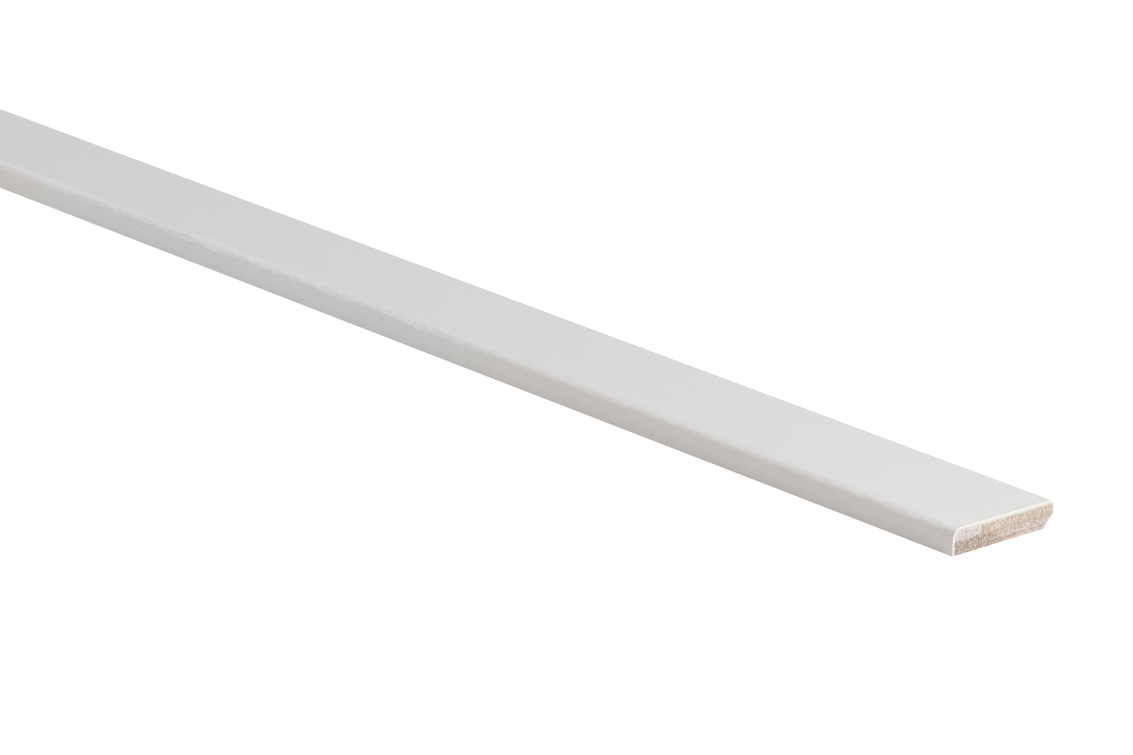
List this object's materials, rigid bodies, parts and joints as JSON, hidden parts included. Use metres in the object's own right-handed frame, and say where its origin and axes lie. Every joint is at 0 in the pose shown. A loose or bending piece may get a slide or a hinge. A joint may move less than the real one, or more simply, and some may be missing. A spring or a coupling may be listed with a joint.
{
  "type": "skirting board",
  "caption": "Thin flat stick-on skirting strip: timber core with a white foil wrapped round its face, rounded upper edge and bevelled foot, bare at the back.",
  "frame": {"origin": "under the middle of the strip, on the plane of its bare back: the bottom centre of its box", "axes": "+X along the strip towards the sawn end that the picture shows, +Y across it from the rounded edge to the bevelled foot, +Z out of the show face"},
  "size_m": [2.4, 0.024, 0.005],
  "materials": {
    "timber": "sawn, bare",
    "foil": "satin"
  },
  "bodies": {
    "root": {"timber_core": "timber", "foil_wrap": "foil"}
  },
  "joints": []
}
